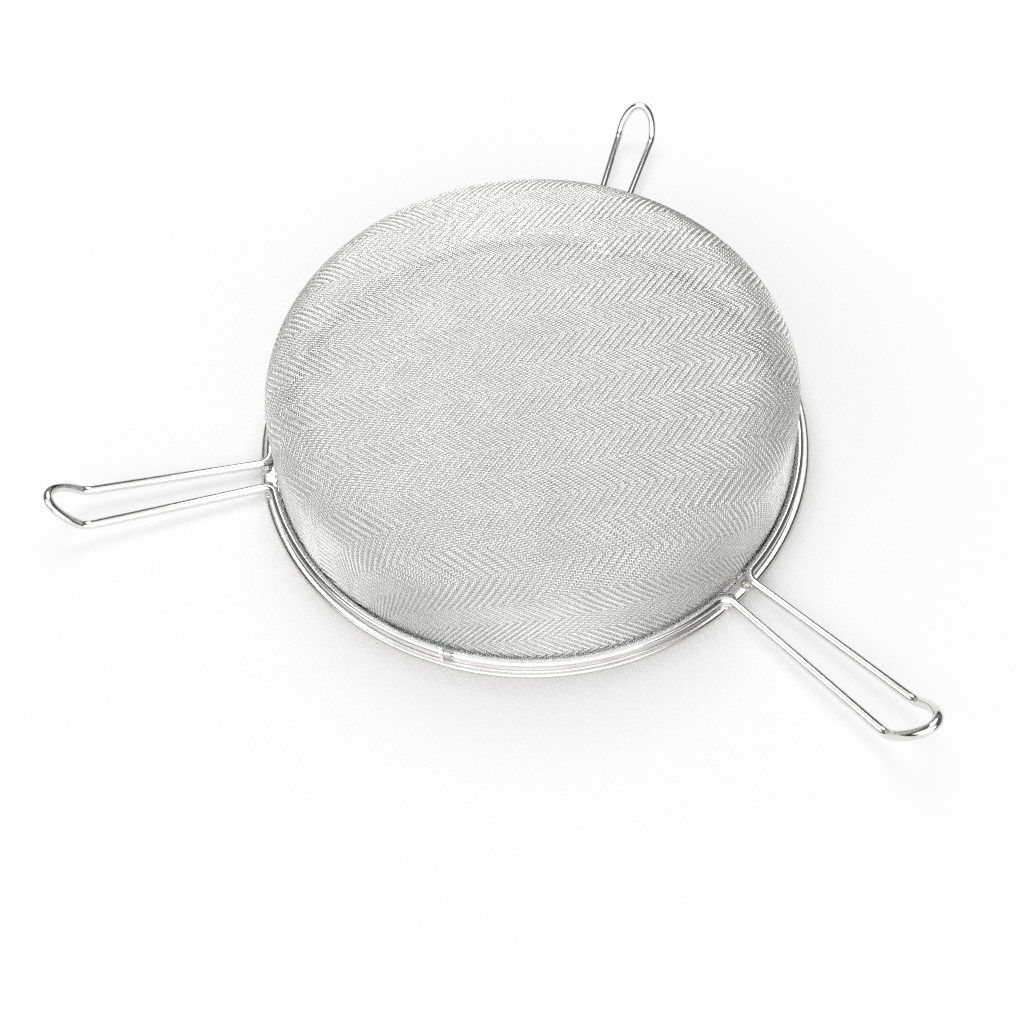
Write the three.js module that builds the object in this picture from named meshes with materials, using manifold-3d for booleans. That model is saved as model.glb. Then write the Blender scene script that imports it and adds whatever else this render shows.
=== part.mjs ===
// A large flat-bottomed strainer of woven wire cloth, standing rim down with its basket up.
// A folded steel rim grips the edge of the cloth. Three bent wires lie along the rim's upper
// face, end to end, and each one stands out from it as a looped handle with a hooked tip.
// Millimetres, +Z up, the rim's flat mouth face at z = 0, the first handle along +X.

import * as THREE from 'three';
import { mergeVertices } from 'three/addons/utils/BufferGeometryUtils.js';
import Module from 'manifold-3d';

// Rim: a strip of sheet folded flat over the edge of the cloth
const RIM_RADIUS = 150;        // from the axis to the rim's outer edge
const RIM_SHEET = 0.6;         // thickness of the strip
const RIM_LIP = 3.2;           // rim left bare outside the wire that lies on it
const MOUTH_LIP = 1.5;         // lower leg of the rim, reaching in past the cloth

// Basket: the cloth's woven thickness, outer face to inner face, and its pressed form
const CLOTH_THICKNESS = 1.0;
const BASKET_HEIGHT = 71.5;    // from the mouth to the edge of the floor
const BASKET_FLOOR_RADIUS = 136; // where the wall's line meets the floor's level
const CORNER_RADIUS = 28;      // outside, between the wall and the floor
const FLOOR_CROWN = 1.5;       // rise of the floor from its edge to its middle
const FOOT_BEND = 1.0;         // outside, where the wall turns out into the rim

// Mesh: a coarse square grid of openings, with about the open share of the cloth it stands for
const MESH_PITCH = 22;         // from one opening to the next
const MESH_OPENING = 12;       // side of an opening
const MESH_EDGE = 7.5;         // cloth left whole inside the wall's line, and above the wires
const WALL_OPENINGS = 24;      // round the wall, in each row

// Handles: one bent wire each
const HANDLE_COUNT = 3;
const WIRE_DIAMETER = 4.8;
const ROOT_SPACING = 15.6;     // between the two legs where they cross the rim's edge
const ROOT_BEND = 6.0;         // centre line, from the rim into a leg
const KINK_SPACING = 22.2;     // between the two legs at their outer ends
const LEG_LENGTH = 90.7;       // from the rim's edge out to the kinks
const LEG_RISE = 3.9;          // of the kinks above the wire on the rim
const KINK_ROUND = 4.0;        // reach of the rounding to each side of a kink
const TIP_LENGTH = 21.0;       // of the hooked tip, from the kinks to its end
const TIP_TILT = 52;           // degrees, of the tip up from the level

// Welds: a bead beside each leg, and a plug between the ends of two wires
const BEAD_LENGTH = 5.0;
const BEAD_WIDTH = 4.4;
const BEAD_HEIGHT = 2.4;
const PLUG_LENGTH = 3.0;
const PLUG_CROWN = 0.3;

// Clearances between pieces
const CLEARANCE = 0.3;
const WIRE_TO_CLOTH = 0.4;

// Fineness of the round forms
const RING_STEPS = 72;
const CORNER_STEPS = 5;
const FLOOR_STEPS = 2;
const FOOT_BEND_STEPS = 2;
const FOLD_STEPS = 6;
const WIRE_SIDES = 8;
const ROOT_BEND_STEPS = 6;
const KINK_STEPS = 4;
const TIP_STEPS = 12;
const BEAD_STEPS = 10;
const PLUG_STEPS = 12;

// Places that follow from the sizes above
const WIRE_RADIUS = WIRE_DIAMETER / 2;
const RIM_SLOT = CLOTH_THICKNESS + 2 * CLEARANCE;
const RIM_HEIGHT = RIM_SLOT + 2 * RIM_SHEET;
const WIRE_RING_RADIUS = RIM_RADIUS - RIM_LIP - WIRE_RADIUS;
const WIRE_LEVEL = RIM_HEIGHT + CLEARANCE + WIRE_RADIUS;
const BASKET_MOUTH_RADIUS = WIRE_RING_RADIUS - WIRE_RADIUS - WIRE_TO_CLOTH;
const FOLD_CENTRE = RIM_RADIUS - RIM_HEIGHT / 2;
const HANDLE_ANGLE = 2 * Math.PI / HANDLE_COUNT;
const KINK_REACH = RIM_RADIUS + LEG_LENGTH;
const TIP_ANGLE = THREE.MathUtils.degToRad(TIP_TILT);
const HANDLE_REACH = KINK_REACH + TIP_LENGTH * Math.cos(TIP_ANGLE) + WIRE_RADIUS;

const wasm = await Module();
wasm.setup();

// Points of an arc about a centre, ends included
function arc(x, y, radius, from, to, steps) {
  const points = [];
  for (let i = 0; i <= steps; i += 1) {
    const angle = from + (to - from) * i / steps;
    points.push(new THREE.Vector2(x + radius * Math.cos(angle), y + radius * Math.sin(angle)));
  }
  return points;
}

// A solid of revolution about +Z; the profile holds radius and height, anticlockwise
function turned(profile, steps) {
  return new THREE.LatheGeometry(profile, steps).rotateX(Math.PI / 2);
}

function toManifold(geometry) {
  const bare = geometry.clone();
  bare.deleteAttribute('normal');
  bare.deleteAttribute('uv');
  const merged = mergeVertices(bare, 1e-4);
  return new wasm.Manifold(new wasm.Mesh({
    numProp: 3,
    vertProperties: new Float32Array(merged.attributes.position.array),
    triVerts: new Uint32Array(merged.index.array),
  }));
}

function toGeometry(manifold) {
  const mesh = manifold.getMesh();
  const geometry = new THREE.BufferGeometry();
  geometry.setAttribute('position', new THREE.BufferAttribute(mesh.vertProperties, 3));
  geometry.setIndex(new THREE.BufferAttribute(mesh.triVerts, 1));
  geometry.computeVertexNormals();
  return geometry;
}

// The rim: a strip folded into a flat channel that opens inwards, round at its outer edge
function rimGeometry() {
  const mouthEdge = BASKET_MOUTH_RADIUS - CLOTH_THICKNESS - MOUTH_LIP;
  const upperEdge = BASKET_MOUTH_RADIUS + FOOT_BEND + CLEARANCE;
  const middle = RIM_HEIGHT / 2;
  const quarter = Math.PI / 2;
  const profile = [
    new THREE.Vector2(mouthEdge, 0),
    ...arc(FOLD_CENTRE, middle, middle, -quarter, quarter, FOLD_STEPS),
    new THREE.Vector2(upperEdge, RIM_HEIGHT),
    new THREE.Vector2(upperEdge, RIM_HEIGHT - RIM_SHEET),
    ...arc(FOLD_CENTRE, middle, RIM_SLOT / 2, quarter, -quarter, FOLD_STEPS),
    new THREE.Vector2(mouthEdge, RIM_SHEET),
    new THREE.Vector2(mouthEdge, 0),
  ];
  return turned(profile, RING_STEPS);
}

// One face of the cloth from the middle of the floor to the foot of the wall, set in by a depth
function basketFace(depth) {
  const draft = Math.atan2(BASKET_MOUTH_RADIUS - BASKET_FLOOR_RADIUS, BASKET_HEIGHT - WIRE_LEVEL);
  const radius = CORNER_RADIUS - depth;
  const centreHeight = BASKET_HEIGHT - CORNER_RADIUS;
  const wallAtCentre = BASKET_FLOOR_RADIUS + CORNER_RADIUS * Math.tan(draft);
  const centreRadius = wallAtCentre - CORNER_RADIUS / Math.cos(draft);
  const points = [];
  for (let i = 0; i < FLOOR_STEPS; i += 1) {
    const share = i / FLOOR_STEPS;
    const rise = FLOOR_CROWN * (1 - share * share);
    points.push(new THREE.Vector2(centreRadius * share, BASKET_HEIGHT - depth + rise));
  }
  points.push(...arc(centreRadius, centreHeight, radius, Math.PI / 2, draft, CORNER_STEPS));
  return points;
}

// The openings through the floor and its rounded edge: cells of a square grid that fit inside the wall
function floorOpenings() {
  const reach = BASKET_FLOOR_RADIUS - MESH_EDGE;
  const half = Math.floor(reach / MESH_PITCH);
  const farCorner = (x, y) => Math.hypot(Math.abs(x) + MESH_OPENING / 2, Math.abs(y) + MESH_OPENING / 2);
  const boxes = [];
  for (let i = -half - 1; i <= half; i += 1) {
    for (let j = -half - 1; j <= half; j += 1) {
      const x = (i + 0.5) * MESH_PITCH;
      const y = (j + 0.5) * MESH_PITCH;
      if (farCorner(x, y) <= reach) {
        const box = new THREE.BoxGeometry(MESH_OPENING, MESH_OPENING, 2 * CORNER_RADIUS);
        boxes.push(box.translate(x, y, BASKET_HEIGHT));
      }
    }
  }
  return boxes;
}

// The openings through the wall: rows from just above the wires to the start of the rounded edge
function wallOpenings() {
  const lowest = WIRE_LEVEL + WIRE_RADIUS + MESH_EDGE;
  const highest = BASKET_HEIGHT - CORNER_RADIUS + MESH_EDGE;
  const rows = Math.floor((highest - lowest + MESH_PITCH - MESH_OPENING) / MESH_PITCH);
  const step = 2 * Math.PI / WALL_OPENINGS;
  const width = BASKET_MOUTH_RADIUS * step * MESH_OPENING / MESH_PITCH;
  const inside = BASKET_FLOOR_RADIUS - CORNER_RADIUS;
  const boxes = [];
  for (let row = 0; row < rows; row += 1) {
    const middle = lowest + MESH_OPENING / 2 + row * MESH_PITCH;
    for (let i = 0; i < WALL_OPENINGS; i += 1) {
      const box = new THREE.BoxGeometry(RIM_RADIUS - inside, width, MESH_OPENING);
      box.translate((RIM_RADIUS + inside) / 2, 0, middle);
      boxes.push(box.rotateZ((i + 0.5) * step));
    }
  }
  return boxes;
}

// The basket: a thin pressed shell whose edge turns out flat into the rim's slot
function basketGeometry() {
  const flangeLow = RIM_SHEET + CLEARANCE;
  const flangeHigh = flangeLow + CLOTH_THICKNESS;
  const flangeEnd = FOLD_CENTRE - CLEARANCE;
  const bendRadius = BASKET_MOUTH_RADIUS + FOOT_BEND;
  const bendHeight = flangeHigh + FOOT_BEND;
  const foot = (radius) => arc(bendRadius, bendHeight, radius, Math.PI, 1.5 * Math.PI, FOOT_BEND_STEPS);
  const inner = [...basketFace(CLOTH_THICKNESS), ...foot(FOOT_BEND + CLOTH_THICKNESS)];
  const outer = [...basketFace(0), ...foot(FOOT_BEND)];
  const flange = [new THREE.Vector2(flangeEnd, flangeLow), new THREE.Vector2(flangeEnd, flangeHigh)];
  let shell = toManifold(turned([...inner, ...flange, ...outer.reverse()], RING_STEPS));
  for (const opening of [...floorOpenings(), ...wallOpenings()]) {
    shell = shell.subtract(toManifold(opening));
  }
  return toGeometry(shell);
}

// A path that passes through each of its points in turn, one point to a step
class PointPath extends THREE.Curve {
  constructor(points) {
    super();
    this.points = points;
  }

  getPoint(t, target = new THREE.Vector3()) {
    const place = t * (this.points.length - 1);
    const i = Math.min(Math.floor(place), this.points.length - 2);
    return target.lerpVectors(this.points[i], this.points[i + 1], place - i);
  }

  getUtoTmapping(u) {
    return u;
  }
}

// Half of a handle's wire, from its end on the rim to the middle of its tip, on the +Y side
function halfHandlePath() {
  const root = new THREE.Vector2(RIM_RADIUS, ROOT_SPACING / 2);
  const kink = new THREE.Vector2(KINK_REACH, KINK_SPACING / 2);
  const along = kink.clone().sub(root).normalize();
  const across = new THREE.Vector2(-along.y, along.x);

  // The bend's centre lies one bend radius from the leg's line and from the wire on the rim
  const start = root.clone().addScaledVector(across, ROOT_BEND);
  const reach = start.dot(along);
  const centreRadius = WIRE_RING_RADIUS + ROOT_BEND;
  const slide = Math.sqrt(reach * reach - start.lengthSq() + centreRadius * centreRadius) - reach;
  const centre = start.addScaledVector(along, slide);
  const bendFrom = centre.angle() + Math.PI;
  const bendTo = across.angle() + Math.PI;

  const footEnd = HANDLE_ANGLE / 2 - (PLUG_LENGTH / 2 + CLEARANCE) / WIRE_RING_RADIUS;
  const footSteps = Math.ceil((footEnd - centre.angle()) * RING_STEPS / (2 * Math.PI));
  const flat = [
    ...arc(0, 0, WIRE_RING_RADIUS, footEnd, centre.angle(), footSteps),
    ...arc(centre.x, centre.y, ROOT_BEND, bendFrom, bendTo, ROOT_BEND_STEPS).slice(1),
  ];
  const points = flat.map((p) => new THREE.Vector3(p.x, p.y, WIRE_LEVEL));

  // The tip is half an ellipse in a plane that tilts up from the kinks
  const corner = new THREE.Vector3(kink.x, kink.y, WIRE_LEVEL + LEG_RISE);
  const tipPoint = (angle) => new THREE.Vector3(
    KINK_REACH + TIP_LENGTH * Math.sin(angle) * Math.cos(TIP_ANGLE),
    KINK_SPACING / 2 * Math.cos(angle),
    WIRE_LEVEL + LEG_RISE + TIP_LENGTH * Math.sin(angle) * Math.sin(TIP_ANGLE),
  );
  const legEnd = corner.clone().lerp(points.at(-1), KINK_ROUND / corner.distanceTo(points.at(-1)));
  const tipFrom = Math.asin(KINK_ROUND / TIP_LENGTH);
  const rounding = new THREE.QuadraticBezierCurve3(legEnd, corner, tipPoint(tipFrom));
  points.push(...rounding.getPoints(KINK_STEPS));
  for (let i = 1; i <= TIP_STEPS / 2; i += 1) {
    points.push(tipPoint(tipFrom + (Math.PI / 2 - tipFrom) * i / (TIP_STEPS / 2)));
  }
  return points;
}

function handlePath() {
  const half = halfHandlePath();
  const mirrored = half.slice(0, -1).reverse();
  const other = mirrored.map((p) => new THREE.Vector3(p.x, -p.y, p.z));
  return new PointPath([...half, ...other]);
}

// A round bar of a given radius along a handle's path
function barGeometry(path, radius) {
  const outline = arc(0, 0, radius, 0, 2 * Math.PI, WIRE_SIDES).slice(0, -1);
  const section = new THREE.Shape(outline);
  return new THREE.ExtrudeGeometry(section, { extrudePath: path, steps: path.points.length - 1 });
}

// A weld bead in the corner between the rim and the inner side of a leg; side is 1 or -1
function beadGeometry(path, side) {
  const seat = RIM_HEIGHT + CLEARANCE;
  const x = WIRE_RING_RADIUS + WIRE_RADIUS;
  const y = side * (ROOT_SPACING / 2 - WIRE_RADIUS);
  const lump = new THREE.SphereGeometry(1, BEAD_STEPS, BEAD_STEPS - 2);
  lump.scale(BEAD_LENGTH / 2, BEAD_WIDTH / 2, BEAD_HEIGHT);
  lump.translate(x, y, seat);
  const below = new THREE.BoxGeometry(2 * BEAD_LENGTH, 2 * BEAD_WIDTH, 2 * BEAD_HEIGHT);
  below.translate(x, y, seat - BEAD_HEIGHT);
  const wire = toManifold(barGeometry(path, WIRE_RADIUS + CLEARANCE));
  return toGeometry(toManifold(lump).subtract(toManifold(below)).subtract(wire));
}

// A weld plug between the ends of two neighbouring wires, its axis along +Y
function plugGeometry() {
  const half = PLUG_LENGTH / 2;
  const profile = [
    new THREE.Vector2(0, -half),
    new THREE.Vector2(WIRE_RADIUS, -half),
    new THREE.Vector2(WIRE_RADIUS + PLUG_CROWN, 0),
    new THREE.Vector2(WIRE_RADIUS, half),
    new THREE.Vector2(0, half),
  ];
  return new THREE.LatheGeometry(profile, PLUG_STEPS);
}

function steel(color, roughness) {
  return new THREE.MeshStandardMaterial({ color, roughness, metalness: 1 });
}

function piece(name, geometry, material) {
  const mesh = new THREE.Mesh(geometry, material);
  mesh.name = name;
  return mesh;
}

const strainer = new THREE.Group();
strainer.add(piece('rim_band', rimGeometry(), steel(0xbdb8b1, 0.2)));
strainer.add(piece('mesh_basket', basketGeometry(), steel(0xd8d8d7, 0.35)));

const path = handlePath();
for (let i = 0; i < HANDLE_COUNT; i += 1) {
  const handle = new THREE.Group();
  handle.rotation.z = i * HANDLE_ANGLE;
  handle.add(piece(`handle_wire_${i + 1}`, barGeometry(path, WIRE_RADIUS), steel(0xdedede, 0.15)));
  handle.add(piece(`leg_weld_${i + 1}_left`, beadGeometry(path, 1), steel(0xaaa6a0, 0.45)));
  handle.add(piece(`leg_weld_${i + 1}_right`, beadGeometry(path, -1), steel(0xaaa6a0, 0.45)));
  strainer.add(handle);

  const joint = new THREE.Group();
  joint.rotation.z = (i + 0.5) * HANDLE_ANGLE;
  const plug = piece(`wire_joint_weld_${i + 1}`, plugGeometry(), steel(0xaaa6a0, 0.45));
  plug.position.set(WIRE_RING_RADIUS, 0, WIRE_LEVEL + PLUG_CROWN);
  joint.add(plug);
  strainer.add(joint);
}

// The origin is under the middle of the whole outline, so the axis stands off towards -X
strainer.position.x = (RIM_RADIUS - HANDLE_REACH) / 2;

export default strainer;
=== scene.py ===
"""Looks of the three-handled mesh strainer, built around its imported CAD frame.

Every piece is in metres in the frame's own axes: +Z up, the rim's mouth face at z = 0, the first
handle along +X. The basket is woven from its single wires. The rim, the handle wires and the welds
keep their CAD sizes and get smooth sections.
"""
import math

import bpy
import numpy as np
from mathutils import Matrix, Vector

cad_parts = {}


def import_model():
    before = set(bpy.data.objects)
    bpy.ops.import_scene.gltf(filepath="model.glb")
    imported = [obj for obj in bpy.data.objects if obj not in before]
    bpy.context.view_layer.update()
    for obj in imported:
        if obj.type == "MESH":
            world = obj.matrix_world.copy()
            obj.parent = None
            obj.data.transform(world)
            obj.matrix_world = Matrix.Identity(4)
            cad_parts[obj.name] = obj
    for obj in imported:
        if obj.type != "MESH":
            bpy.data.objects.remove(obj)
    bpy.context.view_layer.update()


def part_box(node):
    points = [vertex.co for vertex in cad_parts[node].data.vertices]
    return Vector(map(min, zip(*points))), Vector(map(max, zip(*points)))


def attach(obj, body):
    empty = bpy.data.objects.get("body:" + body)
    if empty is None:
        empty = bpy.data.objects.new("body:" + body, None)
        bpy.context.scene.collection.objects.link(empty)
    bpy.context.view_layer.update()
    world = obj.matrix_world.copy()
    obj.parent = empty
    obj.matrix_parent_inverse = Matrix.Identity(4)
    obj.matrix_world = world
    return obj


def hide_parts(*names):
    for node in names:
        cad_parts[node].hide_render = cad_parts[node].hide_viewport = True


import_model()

# Rim, read from the frame, and its folded strip
RIM_LOW, RIM_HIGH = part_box("rim_band")
AXIS_X = (RIM_LOW.x + RIM_HIGH.x) / 2
RIM_RADIUS = (RIM_HIGH.x - RIM_LOW.x) / 2
RIM_HEIGHT = RIM_HIGH.z
RIM_SHEET = 0.0006
RIM_LIP = 0.0032
MOUTH_LIP = 0.0015
CLEARANCE = 0.0003

# Basket: the pressed cloth
CLOTH_THICKNESS = 0.0010
BASKET_HEIGHT = 0.0715
BASKET_FLOOR_RADIUS = 0.136
CORNER_RADIUS = 0.028
FLOOR_CROWN = 0.0015
FOOT_BEND = 0.0010
WIRE_TO_CLOTH = 0.0004

# Weave: a two-over-two twill that turns back every BAND_WIRES wires, which makes the herringbone
PITCH = 0.00112
CLOTH_WIRE_RADIUS = 0.000245
CRIMP = 0.00030                # of a wire to each side of the cloth's middle surface
BAND_WIRES = 14
BAND_AZIMUTH = math.radians(57.0)   # direction of the bands, from +X
FLOAT_PERIOD = 4
PIECE_SECTIONS = 24000         # sections of wire in one woven piece
SECTION_CORNERS = 4            # of a cloth wire's section
NET_ROUNDS = 6                 # of Newton's method, for the place of each crossing

# Handles: one bent wire each
HANDLE_COUNT = 3
WIRE_RADIUS = 0.0024
ROOT_SPACING = 0.0156
ROOT_BEND = 0.0060
KINK_SPACING = 0.0222
LEG_LENGTH = 0.0907
LEG_RISE = 0.0039
KINK_ROUND = 0.0040
TIP_LENGTH = 0.0210
TIP_TILT = math.radians(52)
WIRE_CHAMFER = 0.0003

# Welds: the size of a bead and its lumps, and of a plug and its ripples
BEAD_LENGTH = 0.0050
BEAD_WIDTH = 0.0044
BEAD_HEIGHT = 0.0024
BEAD_RINGS = 9
BEAD_RING_DEPTH = 0.06         # share of the bead's size
BEAD_RING_SWAY = 2
BEAD_KNOTS = 5
BEAD_KNOT_DEPTH = 0.05         # share of the bead's size
BEAD_KNOT_TWIST = 4
PLUG_LENGTH = 0.0030
PLUG_CROWN = 0.0003
PLUG_RIPPLES = 6
PLUG_RIPPLE_DEPTH = 0.25       # share of the crown

# Fineness of the round forms
RIM_SEGMENTS = 288
FOLD_OUTSIDE_STEPS = 20
FOLD_INSIDE_STEPS = 16
STRIP_EDGE_STEPS = 8
CLOTH_PROFILE_STEPS = 60
CLOTH_FOOT_STEPS = 12
CLOTH_PROFILE_SPACING = PITCH / 8
WIRE_SIDES = 28
WIRE_FOOT_STEPS = 64
ROOT_BEND_STEPS = 20
LEG_STEPS = 16
KINK_STEPS = 14
TIP_STEPS = 28
BEAD_ROWS = 20
BEAD_COLUMNS = 28
PLUG_STEPS = 24
CURTAIN_STEPS = 64

# Places that follow from the sizes above
WIRE_RING_RADIUS = RIM_RADIUS - RIM_LIP - WIRE_RADIUS
WIRE_LEVEL = RIM_HEIGHT + CLEARANCE + WIRE_RADIUS
BASKET_MOUTH_RADIUS = WIRE_RING_RADIUS - WIRE_RADIUS - WIRE_TO_CLOTH
FOLD_CENTRE = RIM_RADIUS - RIM_HEIGHT / 2
HANDLE_ANGLE = 2 * math.pi / HANDLE_COUNT
KINK_REACH = RIM_RADIUS + LEG_LENGTH

# Finishes: the two tints and the two roughnesses between which each metal varies
WOVEN_TINTS = ((0.86, 0.86, 0.855), (0.94, 0.94, 0.935))
WOVEN_ROUGHNESS = (0.24, 0.36)
RIM_TINTS = ((0.66, 0.645, 0.62), (0.76, 0.75, 0.73))
RIM_ROUGHNESS = (0.12, 0.20)
HANDLE_TINTS = ((0.74, 0.74, 0.735), (0.84, 0.84, 0.835))
HANDLE_ROUGHNESS = (0.08, 0.15)
WELD_TINTS = ((0.50, 0.47, 0.43), (0.70, 0.69, 0.67))
WELD_ROUGHNESS = (0.28, 0.5)
NOISE_LOW, NOISE_HIGH = 0.3, 0.7    # noise values that give the first and the second of a pair

# Camera, fitted to the photograph's 1024 pixel frame
FRAME_PIXELS = 1024
FOCAL_PIXELS = 1106.4
CENTRE_PIXEL = (533.8, 423.5)
CAMERA_ELEVATION = math.radians(53.386)
CAMERA_TURN = math.radians(48.53)    # from +X to the picture's right
CAMERA_ROLL = math.radians(-2.601)
CAMERA_DISTANCE = 0.61256
CAMERA_TARGET = Vector((AXIS_X, 0, 0.0014))
CAMERA_NEAR = 0.01
SENSOR_WIDTH = 36.0

# Studio floor: its colour, and the share of plain white that it has at a distance from the axis
FLOOR_COLOUR = (0.93, 0.93, 0.93)
FLOOR_ROUGHNESS = 0.8
FLOOR_LEVEL = -0.0001
FLOOR_WHITE = ((0.150, 0.0), (0.160, 0.5), (0.25, 0.75), (0.40, 1.0))
CURTAIN_ROUGHNESS = 0.9
AIM_HEIGHT = 0.03              # of the point above the floor that the lamps are aimed at

QUARTER = math.pi / 2


# Shapes

def arc(x, y, radius, start, end, steps):
    """Points of an arc about a centre, ends included."""
    angle = np.linspace(start, end, steps + 1)
    return np.stack([x + radius * np.cos(angle), y + radius * np.sin(angle)], axis=1)


def unit(vectors):
    return vectors / np.linalg.norm(vectors, axis=-1, keepdims=True)


def lengths_along(path):
    """Distance along a path from its first point to each of its points."""
    return np.concatenate([[0], np.cumsum(np.linalg.norm(np.diff(path, axis=0), axis=1))])


def mesh_object(name, points, quads, rings=(), uv=None, uv_name="UVMap"):
    """A smooth object from quads and from longer faces that close its ends; uv is one pair a corner."""
    corners = np.concatenate([np.asarray(quads).ravel(), *[np.asarray(ring) for ring in rings]])
    sizes = np.concatenate([np.full(len(quads), 4), [len(ring) for ring in rings]]).astype(np.int32)
    starts = np.concatenate([[0], np.cumsum(sizes)[:-1]]).astype(np.int32)
    mesh = bpy.data.meshes.new(name)
    mesh.vertices.add(len(points))
    mesh.vertices.foreach_set("co", np.asarray(points, np.float32).ravel())
    mesh.loops.add(len(corners))
    mesh.loops.foreach_set("vertex_index", corners.astype(np.int32))
    mesh.polygons.add(len(sizes))
    mesh.polygons.foreach_set("loop_start", starts)
    if uv is not None:
        layer = mesh.uv_layers.new(name=uv_name)
        layer.data.foreach_set("uv", np.asarray(uv, np.float32).ravel())
    mesh.update(calc_edges=True)
    mesh.shade_smooth()
    piece = bpy.data.objects.new(name, mesh)
    bpy.context.scene.collection.objects.link(piece)
    return piece


def grid_quads(rows, columns, closed_rows=False, closed_columns=True):
    """Quads of a grid of points numbered row by row, wrapped round where it is closed."""
    row = np.arange(rows if closed_rows else rows - 1)[:, None]
    column = np.arange(columns if closed_columns else columns - 1)[None, :]
    next_row = (row + 1) % rows
    next_column = (column + 1) % columns
    corners = [row * columns + column, row * columns + next_column,
               next_row * columns + next_column, next_row * columns + column]
    return np.stack(np.broadcast_arrays(*corners), axis=-1).reshape(-1, 4)


def lathe(name, profile, segments):
    """A ring about the rim's axis; the closed profile holds radius and height, anticlockwise."""
    angle = np.linspace(0, 2 * math.pi, segments, endpoint=False)[:, None]
    points = np.stack(np.broadcast_arrays(
        AXIS_X + profile[:, 0] * np.cos(angle), profile[:, 0] * np.sin(angle), profile[:, 1]), axis=-1)
    quads = grid_quads(segments, len(profile), closed_rows=True)
    return mesh_object(name, points.reshape(-1, 3), quads[:, ::-1])


def carried_frames(path):
    """Side and up at each point of a path, turned as little as possible from point to point."""
    tangent = unit(np.gradient(path, axis=0))
    up = np.zeros_like(path)
    carried = np.array([0.0, 0.0, 1.0])
    for i, along in enumerate(tangent):
        carried = carried - along * (carried @ along)
        carried = carried / np.linalg.norm(carried)
        up[i] = carried
    return np.cross(tangent, up), up


def tube(name, path, radii, sides):
    """A round bar along a path, its ends closed, with its length and turn as its own UV map."""
    side, up = carried_frames(path)
    angle = np.linspace(-QUARTER, 2 * math.pi - QUARTER, sides, endpoint=False)[:, None]
    section = np.cos(angle) * side[:, None] + np.sin(angle) * up[:, None]
    points = path[:, None] + np.asarray(radii)[:, None, None] * section
    quads = grid_quads(len(path), sides)
    ends = [np.arange(sides)[::-1], (len(path) - 1) * sides + np.arange(sides)]
    row, column = np.divmod(quads, sides)
    in_next_column = np.array([False, True, True, False])
    turn = np.where((column == 0) & in_next_column, sides, column)
    uv = np.stack([lengths_along(path)[row], turn / sides], axis=-1).reshape(-1, 2)
    caps = np.tile([0.0, 0.5], (2 * sides, 1))
    return mesh_object(name, points.reshape(-1, 3), quads, ends, np.concatenate([uv, caps]), "wire")


# Woven basket

def cloth_profile():
    """Arc length, radius and height along the cloth's middle, from the floor's centre to its edge.

    The last value is the radius at which the floor ends and its rounded corner begins.
    """
    half = CLOTH_THICKNESS / 2
    draft = math.atan2(BASKET_MOUTH_RADIUS - BASKET_FLOOR_RADIUS, BASKET_HEIGHT - WIRE_LEVEL)
    corner_height = BASKET_HEIGHT - CORNER_RADIUS
    wall_there = BASKET_FLOOR_RADIUS + CORNER_RADIUS * math.tan(draft)
    corner_centre = wall_there - CORNER_RADIUS / math.cos(draft)
    share = np.linspace(0, 1, CLOTH_PROFILE_STEPS, endpoint=False)
    crown = FLOOR_CROWN * (1 - share * share)
    floor_line = np.stack([corner_centre * share, BASKET_HEIGHT - half + crown], axis=1)
    corner = arc(corner_centre, corner_height, CORNER_RADIUS - half, QUARTER, draft, CLOTH_PROFILE_STEPS)
    flange_level = RIM_SHEET + CLEARANCE + half
    bend = FOOT_BEND + half
    bend_centre = BASKET_MOUTH_RADIUS + FOOT_BEND
    foot = arc(bend_centre, flange_level + bend, bend, math.pi, 1.5 * math.pi, CLOTH_FOOT_STEPS)
    edge = [[FOLD_CENTRE - CLEARANCE, flange_level]]
    line = np.concatenate([floor_line, corner, foot, edge])
    length = lengths_along(line)
    even = np.arange(0, length[-1], CLOTH_PROFILE_SPACING)
    return even, np.interp(even, length, line[:, 0]), np.interp(even, length, line[:, 1]), corner_centre


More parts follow.
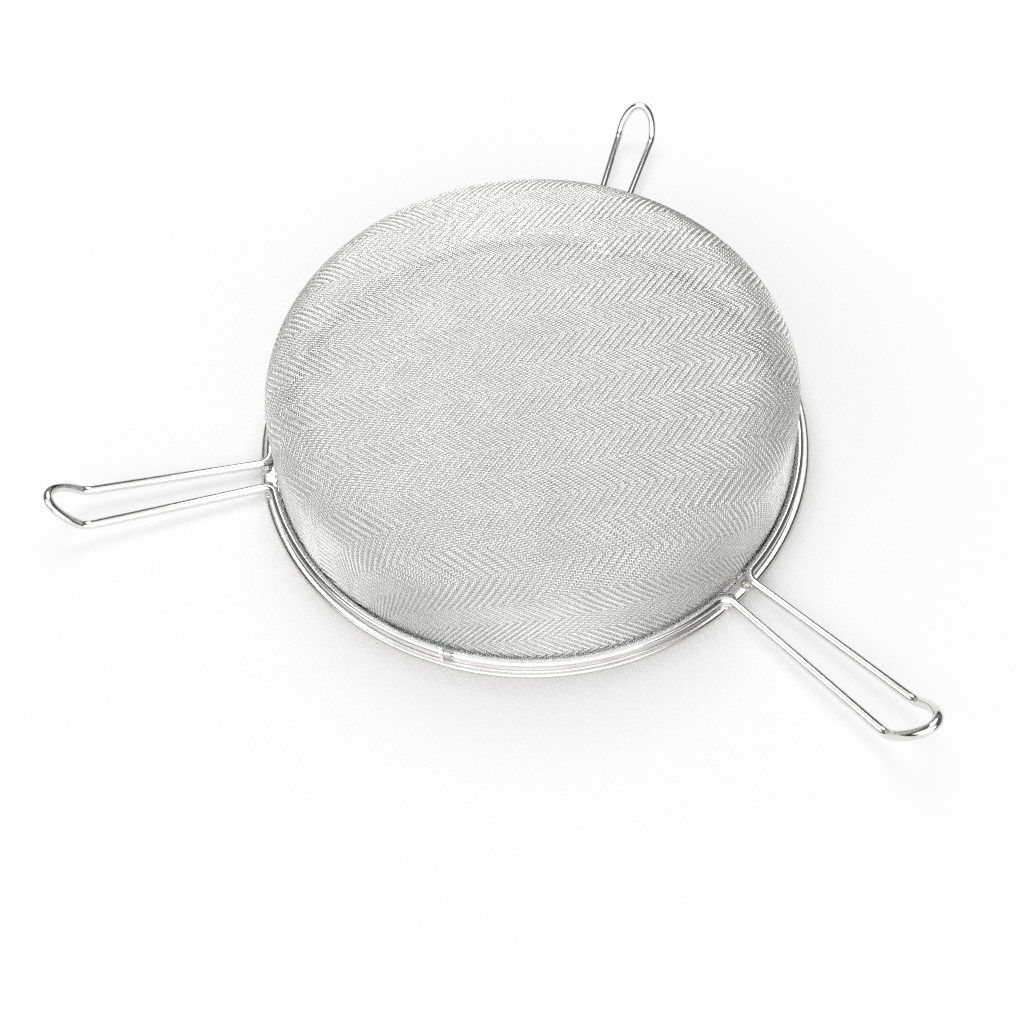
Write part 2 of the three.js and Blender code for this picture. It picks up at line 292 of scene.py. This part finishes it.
def cloth_net():
    """Arc length and angle of each crossing in a quarter of the cloth, (0, 0) at the floor's centre.

    The wires don't stretch: each crossing lies one pitch from its two inner neighbours, so the
    cloth shears where it goes down the wall between the two directions of its wires.
    """
    length, radius, height, flat_radius = cloth_profile()
    radius_slope = np.gradient(radius, length)
    height_slope = np.gradient(height, length)
    count = int(length[-1] / PITCH) + 1
    number = np.arange(count)
    flat = PITCH * np.hypot(number[:, None], number[None, :])
    down = np.where(flat > length[-1], np.nan, flat)
    turn = np.arctan2(number[None, :], number[:, None])
    unknown = flat > flat_radius - PITCH
    unknown[0, :] = False
    unknown[:, 0] = False

    def place(s, t):
        r = np.interp(s, length, radius)
        return np.stack([r * np.cos(t), r * np.sin(t), np.interp(s, length, height)], axis=-1)

    for diagonal in range(2, 2 * count - 1):
        i = np.arange(max(1, diagonal - count + 1), min(diagonal, count))
        i = i[unknown[i, diagonal - i]]
        j = diagonal - i
        one = place(down[i - 1, j], turn[i - 1, j])
        other = place(down[i, j - 1], turn[i, j - 1])
        behind = place(down[i - 1, j - 1], turn[i - 1, j - 1])
        guess = one + other - behind
        s = down[i - 1, j] + down[i, j - 1] - down[i - 1, j - 1]
        t = np.arctan2(guess[:, 1], guess[:, 0])
        for _ in range(NET_ROUNDS):
            point = place(s, t)
            r = np.interp(s, length, radius)
            outwards = np.interp(s, length, radius_slope)
            upwards = np.interp(s, length, height_slope)
            by_s = np.stack([outwards * np.cos(t), outwards * np.sin(t), upwards], axis=-1)
            by_t = np.stack([-r * np.sin(t), r * np.cos(t), np.zeros_like(r)], axis=-1)
            miss_one = ((point - one) ** 2).sum(1) - PITCH ** 2
            miss_other = ((point - other) ** 2).sum(1) - PITCH ** 2
            one_by_s = 2 * ((point - one) * by_s).sum(1)
            one_by_t = 2 * ((point - one) * by_t).sum(1)
            other_by_s = 2 * ((point - other) * by_s).sum(1)
            other_by_t = 2 * ((point - other) * by_t).sum(1)
            scale = one_by_s * other_by_t - one_by_t * other_by_s
            s = s - (other_by_t * miss_one - one_by_t * miss_other) / scale
            t = t - (one_by_s * miss_other - other_by_s * miss_one) / scale
        s[~(s <= length[-1])] = np.nan
        down[i, j] = s
        turn[i, j] = t
    return down, turn


def cloth_crossings():
    """Place and outward normal of every crossing of the cloth, by warp number and weft number."""
    length, radius, height, _ = cloth_profile()
    down, turn = cloth_net()
    last = len(down) - 1
    number = np.arange(-last, last + 1)
    warp, weft = np.meshgrid(number, number, indexing="ij")
    s = down[abs(warp), abs(weft)]
    t = turn[abs(warp), abs(weft)]
    warp_side = np.where(warp < 0, -1, 1)
    weft_side = np.where(weft < 0, -1, 1)
    t = np.arctan2(weft_side * np.sin(t), warp_side * np.cos(t)) + BAND_AZIMUTH
    r = np.interp(s, length, radius)
    outward = np.stack([-np.gradient(height, length), np.gradient(radius, length)], axis=1)
    out_r = np.interp(s, length, outward[:, 0])
    out_z = np.interp(s, length, outward[:, 1])
    place = np.stack([AXIS_X + r * np.cos(t), r * np.sin(t), np.interp(s, length, height)], axis=-1)
    normal = unit(np.stack([out_r * np.cos(t), out_r * np.sin(t), out_z], axis=-1))
    valid = ~np.isnan(s)
    return place, normal, valid, warp, weft


def weft_over(warp, weft):
    """Whether the weft lies outside at a crossing: two over, two under, a step on from wire to wire."""
    step = abs((weft + BAND_WIRES) % (2 * BAND_WIRES) - BAND_WIRES)
    return (warp + step) % FLOAT_PERIOD < FLOAT_PERIOD / 2


def strand_sections(place, normal, valid):
    """The corners of each wire's sections; a wire runs along the first axis."""
    after = np.roll(place, -1, axis=0)
    before = np.roll(place, 1, axis=0)
    has_after = valid & np.roll(valid, -1, axis=0)
    has_before = valid & np.roll(valid, 1, axis=0)
    has_after[-1] = False
    has_before[0] = False
    next_place = np.where(has_after[..., None], after, place)
    last_place = np.where(has_before[..., None], before, place)
    ahead = next_place - last_place
    with np.errstate(invalid="ignore", divide="ignore"):
        side = unit(np.cross(ahead, normal))
        up = unit(np.cross(side, ahead))
    section = np.stack([side, up, -side, -up], axis=2)
    return place[:, :, None] + CLOTH_WIRE_RADIUS * section, has_after, has_before


def waved_wires(place, normal, valid, outside):
    """The middle lines of the wires that run along the first axis.

    A line has a point at each crossing and one between each two. It is highest in the middle of a
    float and passes through the cloth's middle surface half way to the next.
    """
    count, strands = valid.shape
    points = np.empty((2 * count - 1, strands, 3))
    normals = np.empty_like(points)
    wave = np.empty((2 * count - 1, strands))
    known = np.empty((2 * count - 1, strands), bool)
    points[0::2] = place
    points[1::2] = (place[:-1] + place[1:]) / 2
    normals[0::2] = normal
    normals[1::2] = (normal[:-1] + normal[1:]) / 2
    wave[0::2] = outside * math.sin(QUARTER / 2)
    wave[1::2] = (outside[:-1] + outside[1:]) / 2
    known[0::2] = valid
    known[1::2] = valid[:-1] & valid[1:]
    normals = unit(normals)
    return points + CRIMP * wave[..., None] * normals, normals, known


def weave_pieces(name, place, normal, valid, outside):
    """The wires that run along the first axis, as objects of a limited number of sections each."""
    points, normals, known = waved_wires(place, normal, valid, outside)
    sections, has_after, has_before = strand_sections(points, normals, known)
    wanted = known & (has_after | has_before)
    counts = wanted.sum(axis=0)
    group = (np.cumsum(counts) - counts // 2) // PIECE_SECTIONS
    rows, columns = known.shape
    corners = np.arange(SECTION_CORNERS)
    next_corners = np.roll(corners, -1)
    pieces = []
    for label in range(int(group.max()) + 1):
        strands = np.flatnonzero((group == label) & (counts > 1))
        use = wanted[:, strands].T
        index = np.full(use.shape, -1)
        index[use] = np.arange(use.sum())
        vertices = sections[:, strands].transpose(1, 0, 2, 3)[use].reshape(-1, 3)
        link_after = has_after[:, strands].T
        link_before = has_before[:, strands].T
        first = SECTION_CORNERS * index[use & link_after][:, None] + corners
        second = first + SECTION_CORNERS
        sides = [first, first[:, next_corners], second[:, next_corners], second]
        quads = np.stack(sides, axis=-1).reshape(-1, 4)
        starts = SECTION_CORNERS * index[use & ~link_before][:, None] + corners[::-1]
        ends = SECTION_CORNERS * index[use & ~link_after][:, None] + corners
        quads = np.concatenate([quads, starts, ends])
        strand, step = np.nonzero(use)
        section, corner = np.divmod(quads, SECTION_CORNERS)
        along = (step[section] + 0.5 * (corner == 1)) / rows
        across = (strands[strand[section]] + corner / SECTION_CORNERS) / columns
        uv = np.stack([along, across], axis=-1).reshape(-1, 2)
        pieces.append(mesh_object(f"{name}_{label + 1}", vertices, quads, uv=uv, uv_name="OFBake"))
    return pieces


def woven_basket():
    place, normal, valid, warp, weft = cloth_crossings()
    outside = np.where(weft_over(warp, weft), 1.0, -1.0)
    wefts = weave_pieces("basket_weft", place, normal, valid, outside)
    swapped = [values.swapaxes(0, 1) for values in (place, normal, valid, -outside)]
    return wefts + weave_pieces("basket_warp", *swapped)


# Rim, handle wires and welds

def rim_profile():
    """Section of the folded strip, round at its outer edge and open towards the axis."""
    mouth_edge = BASKET_MOUTH_RADIUS - CLOTH_THICKNESS - MOUTH_LIP
    upper_edge = BASKET_MOUTH_RADIUS + FOOT_BEND + CLEARANCE
    middle = RIM_HEIGHT / 2
    slot = middle - RIM_SHEET
    outside = arc(FOLD_CENTRE, middle, middle, -QUARTER, QUARTER, FOLD_OUTSIDE_STEPS)
    inside = arc(FOLD_CENTRE, middle, slot, QUARTER, -QUARTER, FOLD_INSIDE_STEPS)

    def strip_edge(radius, height):
        half = RIM_SHEET / 2
        return arc(radius + half, height, half, QUARTER, 3 * QUARTER, STRIP_EDGE_STEPS)

    upper = strip_edge(upper_edge, RIM_HEIGHT - RIM_SHEET / 2)
    lower = strip_edge(mouth_edge, RIM_SHEET / 2)
    return np.concatenate([outside, upper, inside, lower])


def half_handle_path():
    """Half of a handle's centre line, on the +Y side, from its end on the rim to its tip's middle."""
    root = np.array([RIM_RADIUS, ROOT_SPACING / 2])
    kink = np.array([KINK_REACH, KINK_SPACING / 2])
    along = unit(kink - root)
    across = np.array([-along[1], along[0]])
    start = root + ROOT_BEND * across
    reach = start @ along
    centre_radius = WIRE_RING_RADIUS + ROOT_BEND
    slide = math.sqrt(reach * reach - start @ start + centre_radius ** 2) - reach
    centre = start + slide * along
    centre_angle = math.atan2(centre[1], centre[0])
    foot_end = HANDLE_ANGLE / 2 - (PLUG_LENGTH / 2 + CLEARANCE) / WIRE_RING_RADIUS
    foot = arc(0, 0, WIRE_RING_RADIUS, foot_end, centre_angle, WIRE_FOOT_STEPS)
    bend_from = centre_angle + math.pi
    bend_to = math.atan2(across[1], across[0]) + math.pi
    bend = arc(centre[0], centre[1], ROOT_BEND, bend_from, bend_to, ROOT_BEND_STEPS)[1:]
    flat = np.concatenate([foot, bend])
    level = np.column_stack([flat, np.full(len(flat), WIRE_LEVEL)])

    corner = np.array([*kink, WIRE_LEVEL + LEG_RISE])
    leg = corner - level[-1]
    leg_end = corner - KINK_ROUND * unit(leg)
    leg_points = level[-1] + np.linspace(0, 1, LEG_STEPS + 1)[1:-1, None] * (leg_end - level[-1])
    tip_from = math.asin(KINK_ROUND / TIP_LENGTH)
    angle = np.linspace(tip_from, QUARTER, TIP_STEPS + 1)
    tip = np.column_stack([KINK_REACH + TIP_LENGTH * np.sin(angle) * math.cos(TIP_TILT),
                           KINK_SPACING / 2 * np.cos(angle),
                           corner[2] + TIP_LENGTH * np.sin(angle) * math.sin(TIP_TILT)])
    share = np.linspace(0, 1, KINK_STEPS + 1)[:-1, None]
    kink_points = (1 - share) ** 2 * leg_end + 2 * share * (1 - share) * corner + share ** 2 * tip[0]
    return np.concatenate([level, leg_points, kink_points, tip])


def handle_path():
    half = half_handle_path()
    return np.concatenate([half, half[-2::-1] * [1, -1, 1]])


def turned_about_axis(points, angle):
    """Points of a piece drawn along +X, turned about the rim's axis to their place."""
    cosine, sine = math.cos(angle), math.sin(angle)
    x, y = points[:, 0], points[:, 1]
    return np.column_stack([AXIS_X + x * cosine - y * sine, x * sine + y * cosine, points[:, 2]])


def handle_wire(number):
    """A handle's wire in its place, with a small chamfer at both ends."""
    path = turned_about_axis(handle_path(), number * HANDLE_ANGLE)
    near_start = path[0] + WIRE_CHAMFER * unit(path[1] - path[0])
    near_end = path[-1] + WIRE_CHAMFER * unit(path[-2] - path[-1])
    path = np.concatenate([[path[0], near_start], path[1:-1], [near_end, path[-1]]])
    radii = np.full(len(path), WIRE_RADIUS)
    radii[[0, -1]] = WIRE_RADIUS - WIRE_CHAMFER
    return tube(f"handle_wire_{number + 1}_drawn", path, radii, WIRE_SIDES)


def weld_bead(number, name, side):
    """A lumpy half drop of metal in the corner between the rim and the inner side of a leg."""
    polar = np.linspace(0, math.pi, BEAD_ROWS + 2)[1:-1, None]
    turn = np.linspace(0, 2 * math.pi, BEAD_COLUMNS, endpoint=False)[None, :]
    rings = BEAD_RING_DEPTH * np.sin(BEAD_RINGS * polar + BEAD_RING_SWAY * np.sin(turn))
    knots = BEAD_KNOT_DEPTH * np.sin(BEAD_KNOTS * turn + BEAD_KNOT_TWIST * polar)
    ripple = 1 + rings + knots
    x = BEAD_LENGTH / 2 * np.cos(polar) * ripple
    y = BEAD_WIDTH / 2 * np.sin(polar) * np.cos(turn) * ripple
    z = BEAD_HEIGHT * np.sin(polar) * np.sin(turn) * ripple
    points = np.stack(np.broadcast_arrays(x, y, np.maximum(z, -CLEARANCE)), axis=-1).reshape(-1, 3)
    beside_leg = side * (ROOT_SPACING / 2 - WIRE_RADIUS)
    points = points + [WIRE_RING_RADIUS + WIRE_RADIUS, beside_leg, RIM_HEIGHT + CLEARANCE]
    quads = grid_quads(BEAD_ROWS, BEAD_COLUMNS)[:, ::-1]
    ring = np.arange(BEAD_COLUMNS)
    ends = [ring, ((BEAD_ROWS - 1) * BEAD_COLUMNS + ring)[::-1]]
    return mesh_object(name, turned_about_axis(points, number * HANDLE_ANGLE), quads, ends)


def weld_plug(number, name):
    """A rippled collar of metal that closes the gap between the ends of two wires."""
    reach = PLUG_LENGTH / 2 + 2 * CLEARANCE
    share = np.linspace(-1, 1, PLUG_STEPS + 1)
    angle = reach * share / WIRE_RING_RADIUS
    path = np.column_stack([WIRE_RING_RADIUS * np.cos(angle), WIRE_RING_RADIUS * np.sin(angle),
                            np.full(len(share), WIRE_LEVEL)])
    ripple = 1 + PLUG_RIPPLE_DEPTH * np.cos(PLUG_RIPPLES * math.pi * share)
    swell = PLUG_CROWN * (1 - share ** 4) * ripple
    radii = WIRE_RADIUS + np.where(abs(share) < 1, swell, -WIRE_CHAMFER)
    place = turned_about_axis(path, (number + 0.5) * HANDLE_ANGLE)
    return tube(name, place, radii, WIRE_SIDES)


# Materials

def new_metal(name):
    material = bpy.data.materials.new(name)
    material.use_nodes = True
    shader = material.node_tree.nodes["Principled BSDF"]
    shader.inputs["Metallic"].default_value = 1.0
    return material, shader


def add_node(material, kind, **values):
    node = material.node_tree.nodes.new(kind)
    for name, value in values.items():
        setattr(node, name, value)
    return node


def link(material, output, socket):
    material.node_tree.links.new(output, socket)


def noise(material, vector, scale, detail=3.0):
    node = add_node(material, "ShaderNodeTexNoise")
    node.inputs["Scale"].default_value = scale
    node.inputs["Detail"].default_value = detail
    link(material, vector, node.inputs["Vector"])
    return node.outputs["Fac"]


def colour_between(material, shader, factor, low, high):
    """Base colour between two tints of one metal."""
    node = add_node(material, "ShaderNodeValToRGB")
    node.color_ramp.elements[0].position = NOISE_LOW
    node.color_ramp.elements[1].position = NOISE_HIGH
    node.color_ramp.elements[0].color = (*low, 1)
    node.color_ramp.elements[1].color = (*high, 1)
    link(material, factor, node.inputs["Fac"])
    link(material, node.outputs["Color"], shader.inputs["Base Color"])


def roughness_between(material, shader, factor, low, high):
    node = add_node(material, "ShaderNodeMapRange")
    node.inputs["From Min"].default_value = NOISE_LOW
    node.inputs["From Max"].default_value = NOISE_HIGH
    node.inputs["To Min"].default_value = low
    node.inputs["To Max"].default_value = high
    link(material, factor, node.inputs["Value"])
    link(material, node.outputs["Result"], shader.inputs["Roughness"])


def bump(material, shader, factor, depth):
    node = add_node(material, "ShaderNodeBump")
    node.inputs["Strength"].default_value = 1.0
    node.inputs["Distance"].default_value = depth
    link(material, factor, node.inputs["Height"])
    link(material, node.outputs["Normal"], shader.inputs["Normal"])


def object_vector(material):
    return add_node(material, "ShaderNodeTexCoord").outputs["Object"]


def stretched(material, vector, scale):
    node = add_node(material, "ShaderNodeMapping")
    node.inputs["Scale"].default_value = scale
    link(material, vector, node.inputs["Vector"])
    return node.outputs["Vector"]


def ring_vector(material):
    """Turn about the rim's axis, radius and height of a point, so that grain can follow the strip."""
    shift = add_node(material, "ShaderNodeVectorMath", operation="SUBTRACT")
    shift.inputs[1].default_value = (AXIS_X, 0, 0)
    link(material, object_vector(material), shift.inputs[0])
    apart = add_node(material, "ShaderNodeSeparateXYZ")
    link(material, shift.outputs["Vector"], apart.inputs["Vector"])
    turn = add_node(material, "ShaderNodeMath", operation="ARCTAN2")
    link(material, apart.outputs["Y"], turn.inputs[0])
    link(material, apart.outputs["X"], turn.inputs[1])
    flat = add_node(material, "ShaderNodeVectorMath", operation="MULTIPLY")
    flat.inputs[1].default_value = (1, 1, 0)
    link(material, shift.outputs["Vector"], flat.inputs[0])
    radius = add_node(material, "ShaderNodeVectorMath", operation="LENGTH")
    link(material, flat.outputs["Vector"], radius.inputs[0])
    together = add_node(material, "ShaderNodeCombineXYZ")
    link(material, turn.outputs["Value"], together.inputs["X"])
    link(material, radius.outputs["Value"], together.inputs["Y"])
    link(material, apart.outputs["Z"], together.inputs["Z"])
    return together.outputs["Vector"]


def wire_vector(material):
    """Length along a wire and turn about it."""
    return add_node(material, "ShaderNodeUVMap", uv_map="wire").outputs["UV"]


def woven_wire_material():
    material, shader = new_metal("woven_wire")
    place = object_vector(material)
    patches = noise(material, place, scale=45)
    glint = noise(material, place, scale=700, detail=2.0)
    colour_between(material, shader, patches, *WOVEN_TINTS)
    roughness_between(material, shader, glint, *WOVEN_ROUGHNESS)
    return material


def rim_steel_material():
    material, shader = new_metal("rim_steel")
    along_strip = stretched(material, ring_vector(material), scale=(6, 9000, 9000))
    lines = noise(material, along_strip, scale=1.0, detail=4.0)
    clouds = noise(material, object_vector(material), scale=60)
    colour_between(material, shader, clouds, *RIM_TINTS)
    roughness_between(material, shader, lines, *RIM_ROUGHNESS)
    bump(material, shader, lines, depth=0.000002)
    return material


def handle_steel_material():
    material, shader = new_metal("handle_steel")
    along_wire = stretched(material, wire_vector(material), scale=(60, 50, 1))
    lines = noise(material, along_wire, scale=1.0, detail=4.0)
    clouds = noise(material, object_vector(material), scale=70)
    colour_between(material, shader, clouds, *HANDLE_TINTS)
    roughness_between(material, shader, lines, *HANDLE_ROUGHNESS)
    bump(material, shader, lines, depth=0.000003)
    return material


def weld_material():
    material, shader = new_metal("weld_metal")
    grain = noise(material, object_vector(material), scale=900, detail=4.0)
    colour_between(material, shader, grain, *WELD_TINTS)
    roughness_between(material, shader, grain, *WELD_ROUGHNESS)
    bump(material, shader, grain, depth=0.00008)
    return material


def finish_piece(piece, material, slot, *nodes):
    """Gives a piece its finish and puts it in place of its CAD nodes."""
    piece.data.materials.append(material)
    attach(piece, "root")
    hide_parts(*nodes)


def build_strainer():
    woven = woven_wire_material()
    for piece in woven_basket():
        finish_piece(piece, woven, "woven_wire", "mesh_basket")
    rim = lathe("rim_band_folded", rim_profile(), RIM_SEGMENTS)
    finish_piece(rim, rim_steel_material(), "rim_steel", "rim_band")
    handle_steel = handle_steel_material()
    weld = weld_material()
    for number in range(HANDLE_COUNT):
        wire = f"handle_wire_{number + 1}"
        finish_piece(handle_wire(number), handle_steel, "handle_steel", wire)
        for word, side in (("left", 1), ("right", -1)):
            bead = f"leg_weld_{number + 1}_{word}"
            finish_piece(weld_bead(number, bead + "_bead", side), weld, "weld_metal", bead)
        joint = f"wire_joint_weld_{number + 1}"
        finish_piece(weld_plug(number, joint + "_collar"), weld, "weld_metal", joint)


# Studio

def camera():
    """The camera at the photograph's place, with its roll and its off-centre frame."""
    cos_e, sin_e = math.cos(CAMERA_ELEVATION), math.sin(CAMERA_ELEVATION)
    right = Vector((math.cos(CAMERA_TURN), math.sin(CAMERA_TURN), 0))
    forward = Vector((-math.sin(CAMERA_TURN) * cos_e, math.cos(CAMERA_TURN) * cos_e, -sin_e))
    up = right.cross(forward)
    rolled_right = math.cos(CAMERA_ROLL) * right + math.sin(CAMERA_ROLL) * up
    rolled_up = -math.sin(CAMERA_ROLL) * right + math.cos(CAMERA_ROLL) * up
    data = bpy.data.cameras.new("camera")
    data.sensor_width = SENSOR_WIDTH
    data.lens = SENSOR_WIDTH * FOCAL_PIXELS / FRAME_PIXELS
    data.shift_x = (FRAME_PIXELS / 2 - CENTRE_PIXEL[0]) / FRAME_PIXELS
    data.shift_y = (CENTRE_PIXEL[1] - FRAME_PIXELS / 2) / FRAME_PIXELS
    data.clip_start = CAMERA_NEAR
    thing = bpy.data.objects.new("camera", data)
    turn = Matrix((rolled_right, rolled_up, -forward)).transposed().to_4x4()
    thing.matrix_world = Matrix.Translation(CAMERA_TARGET - CAMERA_DISTANCE * forward) @ turn
    bpy.context.scene.collection.objects.link(thing)
    bpy.context.scene.camera = thing


def seen_directly(tree):
    """1 where the camera sees a surface, also in metal or through glass, and 0 where it only lights."""
    path = tree.nodes.new("ShaderNodeLightPath")
    seen = path.outputs["Is Camera Ray"]
    for name in ("Is Glossy Ray", "Is Transmission Ray"):
        either = tree.nodes.new("ShaderNodeMath")
        either.operation = "MAXIMUM"
        tree.links.new(seen, either.inputs[0])
        tree.links.new(path.outputs[name], either.inputs[1])
        seen = either.outputs["Value"]
    return seen


def world(level):
    """White where it is seen, and of the given level where it only gives light."""
    scene_world = bpy.data.worlds.new("studio")
    scene_world.use_nodes = True
    tree = scene_world.node_tree
    background = tree.nodes["Background"]
    background.inputs["Color"].default_value = (1, 1, 1, 1)
    strength = tree.nodes.new("ShaderNodeMapRange")
    strength.inputs["To Min"].default_value = level
    strength.inputs["To Max"].default_value = 1.0
    tree.links.new(seen_directly(tree), strength.inputs["Value"])
    tree.links.new(strength.outputs["Result"], background.inputs["Strength"])
    bpy.context.scene.world = scene_world


def from_camera(right, back, up):
    """A place to the right of, behind and above the rim's middle, as the camera sees it."""
    cosine, sine = math.cos(CAMERA_TURN), math.sin(CAMERA_TURN)
    return Vector((AXIS_X + right * cosine - back * sine, right * sine + back * cosine, up))


def matt_material(name, colour, roughness):
    material = bpy.data.materials.new(name)
    material.use_nodes = True
    shader = material.node_tree.nodes["Principled BSDF"]
    shader.inputs["Base Color"].default_value = (*colour, 1)
    shader.inputs["Roughness"].default_value = roughness
    shader.inputs["Specular IOR Level"].default_value = 0.0
    return material, shader


def floor(half_width):
    """A pale floor that takes the strainer's shadow and goes over into plain white around it."""
    corners = ((-1, -1), (1, -1), (1, 1), (-1, 1))
    points = [(x * half_width, y * half_width, FLOOR_LEVEL) for x, y in corners]
    piece = mesh_object("floor", points, [[0, 1, 2, 3]])
    material, shader = matt_material("floor", FLOOR_COLOUR, FLOOR_ROUGHNESS)
    tree = material.node_tree
    glow = add_node(material, "ShaderNodeEmission")
    distance = add_node(material, "ShaderNodeVectorMath", operation="DISTANCE")
    distance.inputs[1].default_value = (AXIS_X, 0, 0)
    link(material, object_vector(material), distance.inputs[0])
    reach = FLOOR_WHITE[-1][0]
    near = add_node(material, "ShaderNodeMath", operation="DIVIDE")
    near.inputs[1].default_value = reach
    link(material, distance.outputs["Value"], near.inputs[0])
    fade = add_node(material, "ShaderNodeValToRGB")
    while len(fade.color_ramp.elements) < len(FLOOR_WHITE):
        fade.color_ramp.elements.new(0.5)
    for element, (place, white) in zip(fade.color_ramp.elements, FLOOR_WHITE):
        element.position = place / reach
        element.color = (white, white, white, 1)
    link(material, near.outputs["Value"], fade.inputs["Fac"])
    share = add_node(material, "ShaderNodeMath", operation="MULTIPLY")
    link(material, seen_directly(tree), share.inputs[0])
    link(material, fade.outputs["Color"], share.inputs[1])
    mix = add_node(material, "ShaderNodeMixShader")
    link(material, share.outputs["Value"], mix.inputs["Fac"])
    link(material, shader.outputs["BSDF"], mix.inputs[1])
    link(material, glow.outputs["Emission"], mix.inputs[2])
    link(material, mix.outputs["Shader"], tree.nodes["Material Output"].inputs["Surface"])
    piece.data.materials.append(material)


def curtain(name, start, end, radius, low, high, shade):
    """An upright cloth on an arc about the rim, which the metal mirrors and the camera doesn't see.

    Its angles go anticlockwise from the picture's right.
    """
    turns = np.radians(np.linspace(start, end, CURTAIN_STEPS + 1))
    places = [(radius * math.cos(turn), radius * math.sin(turn)) for turn in turns]
    rows = [[from_camera(right, back, height) for right, back in places] for height in (low, high)]
    quads = grid_quads(2, len(places), closed_columns=False)
    piece = mesh_object(name, np.array(rows).reshape(-1, 3), quads)
    material, _ = matt_material(name, (shade, shade, shade), CURTAIN_ROUGHNESS)
    piece.data.materials.append(material)
    piece.visible_camera = False


def softbox(name, place, aim, width, height, power):
    data = bpy.data.lights.new(name, "AREA")
    data.shape = "RECTANGLE"
    data.size = width
    data.size_y = height
    data.energy = power
    lamp = bpy.data.objects.new(name, data)
    lamp.location = place
    lamp.rotation_euler = (Vector(aim) - Vector(place)).to_track_quat("-Z", "Y").to_euler()
    bpy.context.scene.collection.objects.link(lamp)


def studio():
    """Level wire mirrors one lamp towards the camera, and its sloping parts mirror dark cloths."""
    world(level=0.55)
    floor(half_width=6.0)
    curtain("horizon_curtain", start=-60, end=240, radius=1.6, low=0.06, high=0.62, shade=0.04)
    curtain("right_flag", start=-40, end=52, radius=1.3, low=0.1, high=3.2, shade=0.16)
    curtain("back_curtain", start=52, end=112, radius=1.5, low=0.5, high=1.3, shade=0.4)
    curtain("left_flag", start=112, end=190, radius=1.3, low=0.1, high=2.6, shade=0.2)
    middle = from_camera(right=0, back=0, up=AIM_HEIGHT)
    behind = from_camera(right=0.0, back=0.78, up=1.28)
    in_front = from_camera(right=-0.4, back=-1.25, up=0.95)
    softbox("mirror_softbox", behind, middle, width=1.0, height=0.75, power=11.2)
    softbox("front_softbox", in_front, middle, width=3.4, height=1.5, power=23)


build_strainer()
camera()
studio()

# The denoiser smears wires of one or two pixels, so it stays off
bpy.context.scene.view_settings.view_transform = "Standard"
bpy.context.scene.cycles.use_denoising = False
